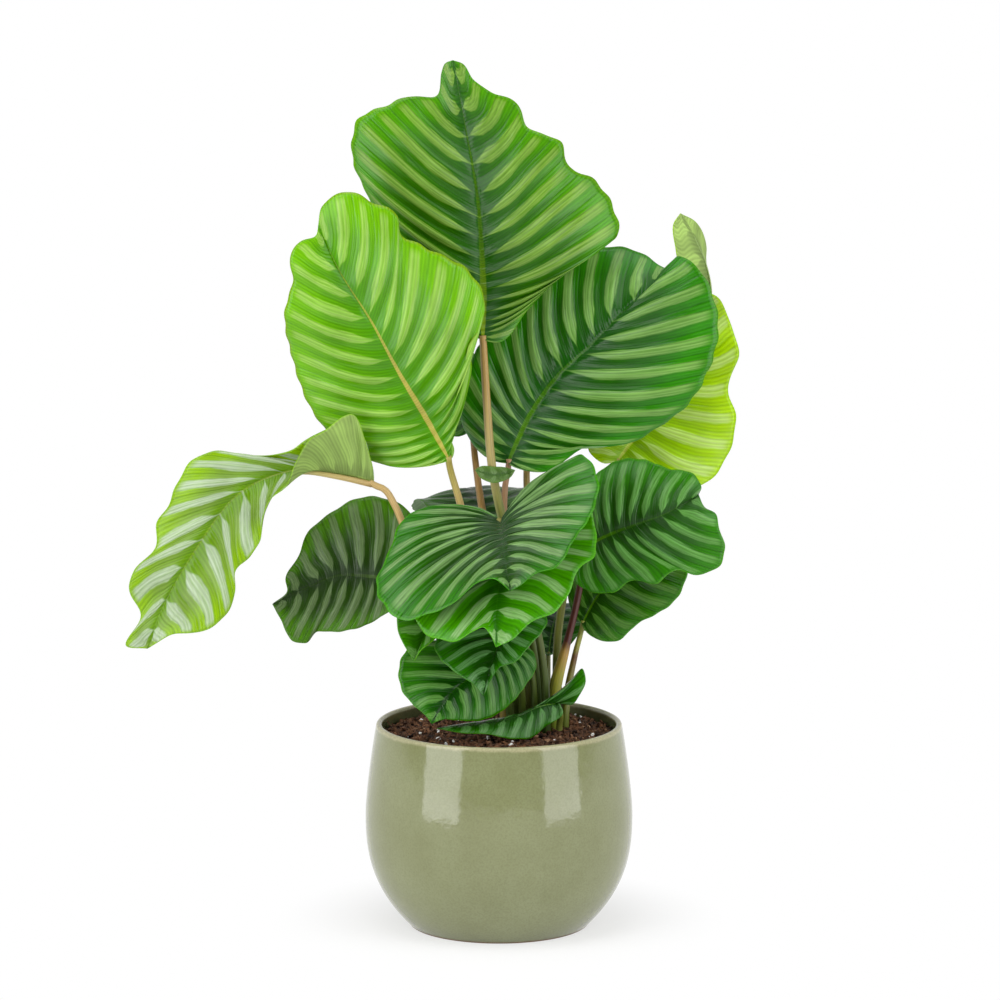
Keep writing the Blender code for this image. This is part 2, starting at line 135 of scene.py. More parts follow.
# Each leaf: its midrib from base to tip, then its two margins between the same two points, as
# seen from above looking towards the tip. The stalk runs from the mix up towards the blade's base;
# thick: its radii on the way, evenly spaced.
# lag: how far the veins lean towards the tip; bow: how much they arch; dome: how much each half
# swells (+) or hollows (-) between midrib and margin, as a share of the half's width.
LEAVES = (
    dict(name="crown", lag=2.1, bow=0.17, dome=0.05,
         rib=((-16, 12, 594), (-16, 25, 642), (-21, 45, 730), (-33, 50, 799), (-46, 45, 869)),
         left=((-44, 25, 602), (-93, 45, 654), (-132, 45, 735), (-146, 40, 773), (-139, 40, 812),
             (-112, 45, 824), (-93, 50, 832), (-61, 55, 834), (-57, 50, 857), (-53, 47, 866)),
         right=((-3, 15, 590), (31, 35, 623), (61, 50, 652), (101, 60, 680), (119, 58, 692),
             (117, 54, 714), (92, 50, 752), (70, 48, 762), (62, 47, 786), (28, 48, 803),
             (17, 48, 827), (-6, 48, 836), (-25, 48, 849), (-37, 46, 866)),
         stalk=((41, 20), (38, 19, 260), (20, 14, 345), (4, 8, 410), (-6, 6, 460), (-12, 6, 530)),
         thick=(6.5, 5.5, 4.6, 4.2)),
    dict(name="upper_left", lag=1.9, bow=0.18, dome=0.05,
         rib=((-49, -15, 476), (-66, -22, 508), (-95, -32, 559), (-126, -38, 618), (-157, -38, 668),
             (-178, -30, 712)),
         left=((-69, -14, 472), (-104, -8, 468), (-153, -5, 487), (-186, -8, 526), (-206, -20, 583),
             (-211, -35, 630), (-203, -40, 660), (-205, -45, 685), (-195, -40, 698),
             (-180, -33, 703)),
         right=((-45, -8, 483), (-52, -5, 506), (-37, -15, 539), (-27, -25, 573), (-31, -30, 591),
             (-19, -30, 611), (-14, -32, 636), (-29, -35, 666), (-75, -38, 694), (-97, -40, 706),
             (-100, -42, 724), (-124, -42, 736), (-146, -40, 747), (-174, -32, 731)),
         stalk=((18, 19), (14, 17, 240), (-6, 12, 300), (-28, 4, 370), (-38, -2, 427)),
         thick=(5.0, 4.5, 4.2, 3.8)),
    dict(name="upper_right", lag=1.9, bow=0.17, dome=0.05,
         rib=((9, 22, 467), (31, 35, 515), (57, 42, 551), (92, 42, 584), (122, 38, 616),
             (147, 35, 638), (169, 45, 660)),
         left=((-12, 32, 471), (-34, 40, 497), (-40, 42, 523), (-32, 48, 553), (-23, 54, 576),
             (11, 65, 611), (47, 80, 650), (87, 88, 673), (123, 85, 678), (148, 75, 670),
             (162, 60, 661)),
         right=((21, 18, 462), (46, 18, 459), (78, 22, 478), (98, 25, 488), (127, 25, 486),
             (158, 22, 503), (192, 18, 530), (213, 12, 573), (216, 12, 623), (202, 20, 660),
             (179, 32, 674)),
         stalk=((38, 33), (37, 33, 280), (24, 31, 350), (6, 28, 405), (6, 26, 440)),
         thick=(6.0, 4.6, 4.0, 3.4)),
    dict(name="right_back", lag=1.7, bow=0.12, dome=0.06,
         rib=((120, 95, 457), (154, 110, 504), (192, 120, 558), (214, 116, 616), (207, 104, 664),
             (183, 90, 711)),
         left=((106, 90, 456), (92, 92, 467), (103, 105, 498), (134, 125, 567), (180, 136, 630),
             (210, 122, 668), (200, 104, 700)),
         right=((144, 85, 439), (184, 85, 427), (210, 90, 435), (235, 100, 468), (241, 108, 502),
             (233, 112, 529), (244, 112, 565), (234, 112, 598), (222, 98, 624), (192, 84, 640),
             (178, 80, 676), (176, 84, 702)),
         stalk=((60, 36), (60, 40, 290), (74, 58, 360), (100, 82, 420)),
         thick=(5.5, 4.2, 3.8, 3.4)),
    dict(name="arching", lag=1.8, bow=0.10, dome=0.03,
         rib=((-125, -14, 454), (-149, -20, 461), (-173, -26, 466), (-199, -32, 469),
             (-220, -35, 465), (-245, -36, 455), (-264, -38, 441), (-280, -38, 422),
             (-297, -40, 397), (-316, -42, 367), (-335, -42, 331), (-350, -42, 290)),
         left=((-126, -24, 472), (-131, -32, 492), (-147, -42, 525), (-170, -48, 512),
             (-189, -54, 501), (-201, -56, 480), (-211, -58, 456), (-226, -56, 443),
             (-234, -54, 423), (-237, -52, 400), (-246, -50, 386), (-262, -52, 369),
             (-262, -52, 349), (-273, -54, 324), (-294, -54, 310), (-324, -50, 306)),
         right=((-128, -15, 474), (-139, -20, 504), (-166, -24, 510), (-195, -26, 497),
             (-207, -26, 489), (-234, -24, 482), (-261, -24, 482), (-284, -26, 485),
             (-304, -28, 478), (-321, -30, 453), (-330, -32, 431), (-341, -34, 414),
             (-340, -36, 394), (-362, -38, 369), (-368, -40, 355), (-357, -40, 322),
             (-372, -38, 292)),
         stalk=((6, 19), (4, 18, 230), (-30, 8, 290), (-68, -2, 350), (-94, -10, 406),
             (-104, -12, 430), (-114, -13, 446)),
         thick=(5.0, 4.6, 4.2, 3.8)),
    dict(name="left_mid", lag=1.8, bow=0.14, dome=0.06,
         rib=((-100, 15, 349), (-125, 20, 351), (-160, 25, 352), (-196, 22, 339), (-228, 12, 325)),
         left=((-94, 6, 330), (-113, 5, 317), (-139, 8, 302), (-164, 8, 297), (-184, 8, 297),
             (-195, 5, 286), (-208, 5, 289), (-219, 8, 309)),
         right=((-88, 25, 383), (-90, 35, 415), (-115, 40, 428), (-138, 42, 429), (-170, 40, 413),
             (-197, 35, 386), (-200, 30, 375), (-215, 22, 347), (-213, 18, 338)),
         stalk=((12, 31), (6, 30, 230), (-25, 26, 285), (-70, 26, 328)),
         thick=(5.0, 4.2, 3.8, 3.2)),
    dict(name="front", lag=2.4, bow=0.17, dome=0.06,
         rib=((1, -30, 418), (2, -60, 415), (4, -100, 405), (7, -135, 389), (11, -168, 372)),
         left=((32, -25, 433), (47, -12, 461), (82, -15, 480), (99, -40, 458), (92, -65, 436),
             (76, -95, 411), (58, -125, 389), (35, -148, 386), (20, -162, 376)),
         right=((-22, -25, 429), (-64, -22, 432), (-92, -35, 419), (-108, -60, 395),
             (-122, -85, 368), (-112, -108, 344), (-94, -120, 331), (-71, -128, 342),
             (-45, -138, 356), (-18, -150, 378), (-4, -160, 382)),
         stalk=((29, 19), (28, 14, 260), (20, 2, 330), (8, -7, 390), (4, -16, 409)),
         thick=(5.0, 4.4, 4.0, 3.4)),
    dict(name="second_front", lag=2.2, bow=0.14, dome=0.06,
         rib=((6, -27, 392), (3, -60, 385), (0, -95, 365), (-3, -125, 338), (-3, -146, 312)),
         left=((26, -24, 400), (58, -30, 422), (90, -34, 430), (96, -50, 409), (93, -75, 391),
             (78, -95, 379), (72, -105, 363), (59, -115, 345), (30, -128, 333), (15, -136, 319)),
         right=((-14, -24, 396), (-48, -35, 389), (-73, -70, 365), (-83, -100, 340),
             (-76, -115, 323), (-57, -125, 317), (-42, -130, 315), (-26, -135, 325),
             (-15, -138, 330), (-8, -142, 323)),
         stalk=((48, 7), (46, 2, 250), (34, -8, 320), (16, -18, 370)),
         thick=(4.6, 4.2, 3.8, 3.2)),
    dict(name="left_low", lag=1.7, bow=0.12, dome=0.04,
         rib=((-20, -30, 345), (-48, -48, 338), (-70, -70, 315), (-84, -90, 287)),
         left=((-18, -45, 334), (-38, -70, 322), (-60, -90, 312), (-76, -98, 300)),
         right=((-45, -22, 345), (-82, -38, 345), (-101, -62, 328), (-98, -80, 310)),
         stalk=((12, 7), (6, 2, 250), (-2, -6, 300), (-12, -20, 332)),
         thick=(4.2, 3.8, 3.4, 3.0)),
    dict(name="low_front", lag=2.2, bow=0.14, dome=0.06,
         rib=((6, -35, 325), (0, -70, 302), (-9, -92, 279), (-15, -107, 255)),
         left=((28, -30, 328), (48, -48, 322), (42, -62, 310), (30, -72, 298), (16, -82, 285),
             (1, -92, 281), (-9, -101, 268)),
         right=((-20, -36, 322), (-50, -50, 312), (-64, -68, 300), (-57, -80, 286), (-40, -90, 273),
             (-26, -97, 266)),
         stalk=((36, 7), (34, 2, 250), (24, -8, 295), (13, -23, 314)),
         thick=(4.0, 3.6, 3.2, 2.8)),
    dict(name="rim", lag=2.0, bow=0.14, dome=0.07,
         rib=((14, -24, 292), (-4, -45, 280), (-28, -60, 265), (-50, -72, 248), (-67, -82, 222)),
         left=((34, -27, 283), (37, -36, 270), (28, -46, 256), (14, -56, 239), (-4, -63, 227),
             (-21, -68, 222), (-41, -75, 224), (-56, -80, 226)),
         right=((-8, -18, 292), (-48, -26, 292), (-86, -46, 296), (-100, -60, 273), (-97, -68, 255),
             (-85, -75, 240), (-71, -81, 228)),
         stalk=((24, 7), (22, -4, 250), (18, -15, 280)),
         thick=(4.0, 3.6, 3.2, 2.8)),
    dict(name="resting", lag=1.5, bow=0.14, dome=0.08,
         rib=((60, -9, 228), (40, -18, 226), (19, -32, 219), (-19, -52, 216), (-62, -66, 214)),
         left=((64, -13, 219), (47, -24, 207), (30, -40, 198), (11, -52, 201), (-9, -60, 206),
             (-34, -66, 209)),
         right=((73, -8, 226), (81, -12, 236), (87, -10, 250), (84, -4, 262), (70, 0, 247),
             (52, -4, 231), (31, -10, 220), (1, -28, 216), (-29, -48, 216)),
         stalk=((61, 7), (62, 2, 212)),
         thick=(3.4, 3.2, 3.0, 2.6)),
    dict(name="right_mid", lag=1.9, bow=0.13, dome=0.05,
         rib=((86, 20, 382), (111, 12, 396), (141, 5, 409), (166, 0, 419), (183, 2, 428),
             (200, 15, 436)),
         left=((83, 25, 408), (93, 28, 448), (118, 25, 469), (147, 18, 471), (171, 10, 463),
             (194, 5, 459), (202, 7, 446)),
         right=((78, 18, 364), (77, 12, 348), (96, 5, 338), (116, -2, 340), (133, -8, 353),
             (156, -12, 350), (180, -8, 364), (196, -5, 358), (221, -5, 368), (226, -3, 383),
             (219, 0, 409), (217, 4, 418), (206, 9, 424)),
         stalk=((54, 21), (56, 22, 232), (67, 25, 276), (78, 31, 320), (84, 34, 352)),
         thick=(5.4, 6.4, 3.6, 3.4)),
    dict(name="right_low", lag=1.8, bow=0.13, dome=0.05,
         rib=((84, 38, 300), (100, 44, 328), (127, 47, 354), (158, 44, 371), (191, 32, 379)),
         left=((76, 42, 308), (70, 52, 327), (82, 60, 356), (122, 64, 382), (163, 54, 391)),
         right=((87, 34, 294), (99, 32, 285), (117, 30, 283), (140, 30, 301), (162, 30, 313),
             (182, 27, 332), (190, 27, 352)),
         stalk=((67, 25), (69, 28, 228), (77, 36, 268)),
         thick=(4.0, 4.0, 3.4, 2.8)),
    dict(name="back_mid", lag=1.5, bow=0.14, dome=0.06,
         rib=((-5, 60, 372), (-16, 95, 408), (-28, 135, 422), (-42, 180, 408), (-52, 208, 376)),
         left=((-30, 62, 378), (-62, 82, 404), (-82, 120, 412), (-90, 160, 400), (-76, 196, 380)),
         right=((20, 62, 380), (42, 88, 408), (36, 130, 424), (14, 172, 414), (-24, 204, 388)),
         stalk=((18, 43), (18, 46, 250), (8, 54, 320)),
         thick=(4.4, 4.2, 3.6, 3.2)),
    dict(name="back_low", lag=1.4, bow=0.13, dome=0.06,
         rib=((50, 62, 262), (56, 88, 292), (64, 120, 304), (76, 160, 292), (86, 186, 262)),
         left=((38, 66, 270), (28, 88, 296), (26, 122, 304), (44, 158, 290)),
         right=((66, 64, 268), (90, 84, 292), (108, 120, 298), (108, 156, 280)),
         stalk=((48, 47), (49, 50, 222)),
         thick=(3.8, 3.6, 3.2, 2.8)),
    dict(name="back_left", lag=1.5, bow=0.14, dome=0.06,
         rib=((-22, 56, 302), (-52, 84, 330), (-86, 112, 340), (-122, 138, 326), (-146, 152, 296)),
         left=((-34, 50, 296), (-66, 62, 310), (-106, 84, 314), (-140, 118, 304)),
         right=((-16, 66, 312), (-28, 100, 340), (-62, 138, 350), (-108, 160, 334)),
         stalk=((6, 43), (2, 44, 226), (-12, 50, 272)),
         thick=(4.2, 4.0, 3.4, 3.0)),
    dict(name="upper_back", lag=1.5, bow=0.13, dome=0.05,
         rib=((30, 62, 478), (36, 94, 520), (44, 126, 560), (52, 154, 586), (60, 182, 594)),
         left=((14, 68, 482), (-10, 92, 512), (-12, 128, 560), (10, 160, 596), (38, 182, 602)),
         right=((48, 64, 476), (78, 84, 500), (96, 118, 536), (98, 152, 566), (84, 180, 584)),
         stalk=((31, 46), (32, 46, 320), (29, 47, 420), (28, 52, 455)),
         thick=(5.4, 4.6, 4.0, 3.6)),
    dict(name="back_high", lag=1.5, bow=0.13, dome=0.05,
         rib=((-27, 62, 494), (-46, 100, 528), (-72, 142, 548), (-100, 184, 540), (-118, 208, 516)),
         left=((-40, 62, 488), (-72, 82, 504), (-104, 116, 518), (-126, 156, 518),
             (-132, 192, 508)),
         right=((-14, 70, 502), (-12, 104, 538), (-34, 150, 566), (-74, 192, 556)),
         stalk=((25, 31), (18, 34, 260), (0, 37, 340), (-17, 39, 418), (-24, 46, 468)),
         thick=(5.0, 4.8, 4.4, 3.6)),
)

# Each leaf's colours: ground between the stripes, deep green beside the midrib and, as painted
# shade, in the creases, fringe towards the edge, stripe, midrib, edge and underside; the number of
# stripes on a side; its stalk's colours, each at a share of the way up. Some also have polish, the
# roughness of a shinier blade, and rib_to, the share of the midrib by which its colour has faded.
GREEN_STALK = ((0.1, "3a5010"), (0.9, "66702a"))
# The two leaves at the back of which only the stalks show
HIDDEN = dict(ground="286408", deep="1b4c06", fringe="38800f", stripe="70a058", rib="6c9432",
              edge="5a9428", under="7f9e5c", stripes=13)
LOOKS = {
    "crown": dict(
        ground="2e6804", deep="1b5006", fringe="468a0c", stripe="7a9c4c", rib="86a224",
        edge="6c9c34", under="7f9e5c", stripes=17,
        stalk=((0.1, "3a5010"), (0.5, "70822a"), (0.72, "a8965a"), (0.95, "b39050"))),
    "upper_left": dict(
        ground="529202", deep="468806", fringe="66a80a", stripe="92b85e", rib="b4a85c",
        edge="7c9a34", under="94b85c", stripes=16, rib_to=1.1,
        stalk=((0.1, "445612"), (0.6, "a48c48"), (0.8, "c4a868"), (0.93, "a89a4c"))),
    "upper_right": dict(
        ground="1f5608", deep="164a0c", fringe="2f7a14", stripe="769c56", rib="4f7a24",
        edge="4f8a30", under="6c8c5c", stripes=15, rib_to=0.8,
        stalk=((0.1, "445612"), (0.6, "987848"), (0.95, "ac8460"))),
    "right_back": dict(
        ground="96c41c", deep="80b016", fringe="a6d028", stripe="bcd87c", rib="c0cc64",
        edge="98c428", under="93ac66", stripes=13, stalk=((0.1, "66742a"), (0.9, "a8a444"))),
    "arching": dict(
        ground="729040", deep="5a821e", fringe="80a632", stripe="a6b69a", rib="b4b06a",
        edge="8cb44c", under="8ea662", stripes=15,
        stalk=((0.1, "90803c"), (0.5, "b4965a"), (0.95, "bea066"))),
    "left_mid": dict(
        ground="2c4818", deep="1e340f", fringe="4a7a20", stripe="687e54", rib="4f6a2c",
        edge="5c8434", under="6c8454", stripes=11, stalk=((0.1, "7a7a34"), (0.9, "848c3c"))),
    "front": dict(
        ground="274a18", deep="1a3812", fringe="2c7010", stripe="74965e", rib="2c4c28",
        edge="44940f", under="6c8c5c", stripes=14, polish=0.17,
        stalk=((0.1, "6f7630"), (0.9, "8a843e"))),
    "second_front": dict(
        ground="3c8c08", deep="226208", fringe="469810", stripe="90b878", rib="4f8c1c",
        edge="58a81c", under="7f9e5c", stripes=11, polish=0.17, stalk=GREEN_STALK),
    "left_low": dict(
        ground="2f6c10", deep="215208", fringe="3c8412", stripe="709c58", rib="6c9438",
        edge="66a034", under="a4bc84", stripes=7, stalk=GREEN_STALK),
    "low_front": dict(
        ground="1a480c", deep="103408", fringe="2a6c10", stripe="608c56", rib="3c6420",
        edge="46861c", under="6c8c5c", stripes=10, polish=0.17, stalk=GREEN_STALK),
    "rim": dict(
        ground="1b4c0e", deep="12380a", fringe="2c6c10", stripe="5e8a48", rib="4f7a2c",
        edge="58982c", under="7f9e6c", stripes=12, polish=0.17, stalk=GREEN_STALK),
    "resting": dict(
        ground="235610", deep="17400c", fringe="34761a", stripe="649456", rib="5c8634",
        edge="5c942c", under="7f9e6c", stripes=9, polish=0.17,
        stalk=((0.1, "808838"), (0.9, "808838"))),
    "right_mid": dict(
        ground="205408", deep="184006", fringe="2f7410", stripe="649450", rib="5c8c28",
        edge="4f9220", under="6c8c5c", stripes=12,
        stalk=((0.05, "7f9024"), (0.3, "a09a30"), (0.40, "b08c40"),
               (0.45, "4c1608"), (0.76, "501a0c"), (0.82, "b08c58"))),
    "right_low": dict(
        ground="245608", deep="184004", fringe="34760e", stripe="5c8840", rib="5c8c28",
        edge="4f9220", under="6c8c5c", stripes=9,
        stalk=((0.1, "6c7a2a"), (0.5, "7a7430"), (0.68, "6c4422"), (0.76, "94983c"))),
    "back_mid": dict(
        ground="36562c", deep="24401c", fringe="427426", stripe="6c8a60", rib="4f7a2c",
        edge="4a7a24", under="6c8c5c", stripes=13, stalk=GREEN_STALK),
    "back_low": dict(
        ground="1c4a12", deep="12320a", fringe="2c6812", stripe="5a7e50", rib="4f7a2c",
        edge="4a7a24", under="6c8c5c", stripes=11, stalk=GREEN_STALK),
    "back_left": dict(
        ground="22540e", deep="163c0a", fringe="306e12", stripe="628a4e", rib="4f7a2c",
        edge="4a8424", under="6c8c5c", stripes=12, stalk=GREEN_STALK),
    "upper_back": dict(
        HIDDEN, stalk=((0.1, "445612"), (0.6, "968840"), (0.95, "947c3a"))),
    "back_high": dict(
        HIDDEN, stalk=((0.1, "445612"), (0.6, "a08044"), (0.95, "a07840"))),
}

# The curled lobe, laid out as the leaves are
EAR_RUFFLE = 0.4
EAR_PATTERN = 3.1
EAR = dict(lag=1.2, bow=0.05, dome=0.10,
           rib=((16, 14, 461), (6, 1, 459), (-8, -6, 459), (-24, -9, 465)),
           left=((10, 0, 455), (-6, -9, 452), (-18, -11, 457)),
           right=((6, 6, 465), (-8, 0, 467), (-18, -5, 468)))

SLOTS = {name: "green_leaf" for name in LOOKS}
SLOTS.update({name: "lime_leaf" for name in ("upper_left", "right_back", "arching")})
SLOTS.update({name: "dark_leaf" for name in ("upper_right", "left_mid", "front", "low_front",
                                             "right_mid", "right_low", "back_mid", "back_low",
                                             "back_left")})


def vec(point):
    """A place in the tables, in metres."""
    return Vector(point) * MM


def colour(text):
    """An sRGB hex colour as linear red, green, blue and alpha."""
    shares = [int(text[i:i + 2], 16) / 255 for i in (0, 2, 4)]
    linear = [s / 12.92 if s <= 0.04045 else ((s + 0.055) / 1.055) ** 2.4 for s in shares]
    return (*linear, 1.0)


def add(tree, kind, inputs=None, **settings):
    """A shader node with its settings; each input is a value or another node's output."""
    made = tree.nodes.new("ShaderNode" + kind)
    for name, value in settings.items():
        setattr(made, name, value)
    for socket, value in (inputs or {}).items():
        if isinstance(value, bpy.types.NodeSocket):
            tree.links.new(value, made.inputs[socket])
        else:
            made.inputs[socket].default_value = value
    return made


def new_material(name):
    """A material, its node tree and its shader."""
    mat = bpy.data.materials.new(name)
    mat.use_nodes = True
    tree = mat.node_tree
    return mat, tree, tree.nodes["Principled BSDF"]


# ---------------- materials

def dress(tree, shader, tint, relief, strength, depth):
    """Gives a shader its colour and a relief, its depth in metres."""
    tree.links.new(tint, shader.inputs["Base Color"])
    bump = add(tree, "Bump", {"Height": relief, "Strength": strength, "Distance": depth})
    tree.links.new(bump.outputs[0], shader.inputs["Normal"])


def blade_material(name, look, seed, under=False):
    """Calathea leaf: a waxy cuticle over soft stripes that follow the veins from midrib to edge.

    The cuticle gives a broad satin shine; the stripes are silvery cells, split by fine veins. Deep
    green in the creases and down the sides of each stripe is painted shade.
    """
    mat, tree, shader = new_material(name)
    uv = add(tree, "UVMap", uv_map="veins").outputs["UV"]
    split = add(tree, "SeparateXYZ", {0: uv}).outputs
    side = add(tree, "Math", {0: split["X"], 1: 2.0, 2: -1.0}, operation="MULTIPLY_ADD")
    out = add(tree, "Math", {0: side.outputs[0]}, operation="ABSOLUTE").outputs[0]
    vein = split["Y"]

    # phase counts the stripes, shifted a little here and there; ridge is 1 down a stripe's middle
    # and 0 in the crease between two; out is 0 at the midrib and 1 at the margin
    drift_at = add(tree, "Mapping", {"Vector": uv, "Location": (seed, seed * 1.7, 0.0),
                                     "Scale": (3.0, 6.0, 1.0)}).outputs[0]
    drift = add(tree, "TexNoise", {"Vector": drift_at, "Scale": 1.0, "Detail": 0.0}).outputs["Fac"]
    shift = add(tree, "Math", {0: drift, 1: 0.6, 2: -0.3}, operation="MULTIPLY_ADD").outputs[0]
    phase = add(tree, "Math", {0: vein, 1: float(look["stripes"]), 2: shift},
                operation="MULTIPLY_ADD").outputs[0]
    swing = add(tree, "Math", {0: phase, 1: 0.5}, operation="PINGPONG").outputs[0]
    ridge = add(tree, "Math", {0: swing, 1: 2.0}, operation="MULTIPLY").outputs[0]

    # fine veins run along every stripe; streaks break it up; clouds vary the whole
    turns = add(tree, "Math", {0: phase, 1: 2 * math.pi * FINE_VEINS}, operation="MULTIPLY")
    wave = add(tree, "Math", {0: turns.outputs[0]}, operation="SINE").outputs[0]
    fine = add(tree, "Math", {0: wave, 1: 0.5, 2: 0.5}, operation="MULTIPLY_ADD").outputs[0]
    streak_at = add(tree, "Mapping", {"Vector": uv, "Location": (seed, 0.0, 0.0),
                                      "Scale": (7.0, 190.0, 1.0)}).outputs[0]
    streak = add(tree, "TexNoise", {"Vector": streak_at, "Scale": 1.0,
                                    "Detail": 2.0}).outputs["Fac"]
    patchy = add(tree, "TexNoise", {"Vector": drift_at, "Scale": 2.6}).outputs["Fac"]
    uneven = add(tree, "TexNoise", {"Vector": drift_at, "Scale": 7.0}).outputs["Fac"]
    where = add(tree, "TexCoord").outputs["Object"]
    cloud = add(tree, "TexNoise", {"Vector": where, "Scale": LEAF_CLOUDS,
                                   "Detail": 2.0}).outputs["Fac"]

    rib_to = look.get("rib_to", 0.6)
    ramps = {}
    for ramp, source, (start, end), (first, last), kind in (
        # stripes are pointed at the midrib, broad from a third of the way out and a little
        # narrower towards the margin, and fade in the last tenth
        ("spread", out, (0.02, 0.34), (0.0, 0.49), "SMOOTHSTEP"),
        ("narrow", out, (0.45, 1.0), (0.0, -0.10), "LINEAR"),
        ("fade", out, (0.90, 1.0), (1.0, 0.0), "SMOOTHSTEP"),
        ("broken", streak, (0.25, 0.62), (0.55, 1.0), "LINEAR"),
        # the ground is deep green beside the midrib and takes the fringe's colour further out
        ("beside", out, (0.03, 0.42), (0.85, 0.0), "SMOOTHSTEP"),
        ("outer", out, (0.45, 0.95), (0.0, 1.0), "SMOOTHSTEP"),
        # dark lines: painted shade in the crease between two stripes, and the parting down the
        # middle of one
        ("crease", ridge, (0.0, 0.16), (1.0, 0.0), "SMOOTHSTEP"),
        ("parting", ridge, (0.90, 1.0), (0.0, 0.60), "SMOOTHSTEP"),
        # the midrib is widest and strongest at its base; the edge is a hard thin rim
        ("rib_width", vein, (0.0, 1.0), (0.050, 0.012), "LINEAR"),
        ("waning", vein, (rib_to - 0.5, rib_to), (1.0, 0.15), "LINEAR"),
        ("rim", out, (0.978, 0.992), (0.0, 0.8), "LINEAR"),
        ("light", cloud, (0.3, 0.7), (0.86, 1.12), "LINEAR"),
        ("lined", fine, (0.0, 1.0), (0.85, 1.06), "LINEAR"),
    ):
        ramps[ramp] = add(tree, "MapRange", {"Value": source, "From Min": start, "From Max": end,
                                             "To Min": first, "To Max": last},
                          interpolation_type=kind).outputs[0]

    width = add(tree, "Math", {0: ramps["spread"], 1: ramps["narrow"]}, operation="ADD").outputs[0]
    width = add(tree, "Math", {0: patchy, 1: 0.34, 2: width}, operation="MULTIPLY_ADD").outputs[0]
    width = add(tree, "Math", {0: width, 1: 0.17}, operation="SUBTRACT").outputs[0]
    over = add(tree, "Math", {0: ridge, 1: width}, operation="ADD").outputs[0]
    rib_at = add(tree, "Math", {0: out, 1: ramps["rib_width"]}, operation="DIVIDE").outputs[0]
    body = add(tree, "MapRange", {"Value": over, "From Min": 0.91, "From Max": 1.09},
               interpolation_type="SMOOTHSTEP").outputs[0]
    rib = add(tree, "MapRange", {"Value": rib_at, "From Min": 0.55, "From Max": 1.0, "To Min": 0.9,
                                 "To Max": 0.0}, interpolation_type="SMOOTHSTEP").outputs[0]

    striped = add(tree, "Math", {0: body, 1: ramps["fade"]}, operation="MULTIPLY")
    silver = add(tree, "Math", {0: striped.outputs[0], 1: ramps["broken"]}, operation="MULTIPLY")
    lines = add(tree, "Math", {0: ramps["crease"], 1: 0.75, 2: ramps["parting"]},
                operation="MULTIPLY_ADD").outputs[0]
    # a painted shade line down each side of a stripe
    flank_shade = add(tree, "Math", {0: ridge, 1: 0.62, 2: 0.05}, operation="COMPARE").outputs[0]
    lines = add(tree, "Math", {0: flank_shade, 1: 0.55, 2: lines}, operation="MULTIPLY_ADD").outputs[0]
    # painted shade in the creases and down the sides of the stripes, with the partings, made uneven
    parting_and_crease_shade = add(tree, "Math", {0: lines, 1: uneven}, operation="MULTIPLY")
    rib = add(tree, "Math", {0: rib, 1: ramps["waning"]}, operation="MULTIPLY")
    tint = colour(look["ground"])
    # the deep green laid in the creases and down the stripes' sides is painted shade
    for amount, layer in ((ramps["outer"], "fringe"), (ramps["beside"], "deep"),
                          (silver.outputs[0], "stripe"), (parting_and_crease_shade.outputs[0], "deep"),
                          (rib.outputs[0], "rib"), (ramps["rim"], "edge")):
        tint = add(tree, "Mix", {0: amount, 6: tint, 7: colour(look[layer])},
                   data_type="RGBA").outputs[2]
    value = add(tree, "Math", {0: ramps["light"], 1: ramps["lined"]}, operation="MULTIPLY")
    shaded = add(tree, "HueSaturation", {"Saturation": 1.10, "Value": value.outputs[0],
                                         "Color": tint})
    dip = add(tree, "Math", {0: ramps["crease"], 1: -1.4, 2: streak}, operation="MULTIPLY_ADD")
    height = add(tree, "Math", {0: fine, 1: 0.5, 2: dip.outputs[0]}, operation="MULTIPLY_ADD")
    dress(tree, shader, shaded.outputs[0], height.outputs[0], 0.6, 0.00035)
    shader.inputs["Roughness"].default_value = 0.50 if under else look.get("polish", 0.24)
    shader.inputs["IOR"].default_value = 1.42
    shader.inputs["Specular IOR Level"].default_value = 0.20 if under else 0.36
    return mat


def stalk_material(name, colours, seed):
    """Leaf stalk: fleshy and finely ribbed, greener in the sheath, tan or red-brown at the joint.

    Its skin gives a narrow soft shine down one side.
    """
    mat, tree, shader = new_material(name)
    uv = add(tree, "UVMap", uv_map="veins").outputs["UV"]
    split = add(tree, "SeparateXYZ", {0: uv})
    drift_at = add(tree, "Mapping", {"Vector": uv, "Location": (seed, seed, 0.0),
                                     "Scale": (2.0, 9.0, 1.0)})
    drift = add(tree, "TexNoise", {"Vector": drift_at.outputs[0], "Scale": 1.0, "Detail": 3.0})
    strayed = add(tree, "Math", {0: drift.outputs["Fac"], 1: 0.10, 2: -0.05},
                  operation="MULTIPLY_ADD").outputs[0]
    up = add(tree, "Math", {0: split.outputs["Y"], 1: strayed}, operation="ADD")
    ramp = add(tree, "ValToRGB", {"Fac": up.outputs[0]})
    stops = ramp.color_ramp.elements
    stops[0].position, stops[0].color = colours[0][0], colour(colours[0][1])
    stops[1].position, stops[1].color = colours[-1][0], colour(colours[-1][1])
    for place, tint in colours[1:-1]:
        stops.new(place).color = colour(tint)
    rib_at = add(tree, "Mapping", {"Vector": uv, "Scale": (22.0, 3.0, 1.0)}).outputs[0]
    ribs = add(tree, "TexNoise", {"Vector": rib_at, "Scale": 1.0, "Detail": 2.0}).outputs["Fac"]
    value = add(tree, "MapRange", {"Value": ribs, "From Min": 0.3, "From Max": 0.7,
                                   "To Min": 0.72, "To Max": 1.15}).outputs[0]
    shaded = add(tree, "HueSaturation", {"Value": value, "Color": ramp.outputs[0]})
    dress(tree, shader, shaded.outputs[0], ribs, 0.5, 0.0005)
    shader.inputs["Roughness"].default_value = 0.42
    return mat


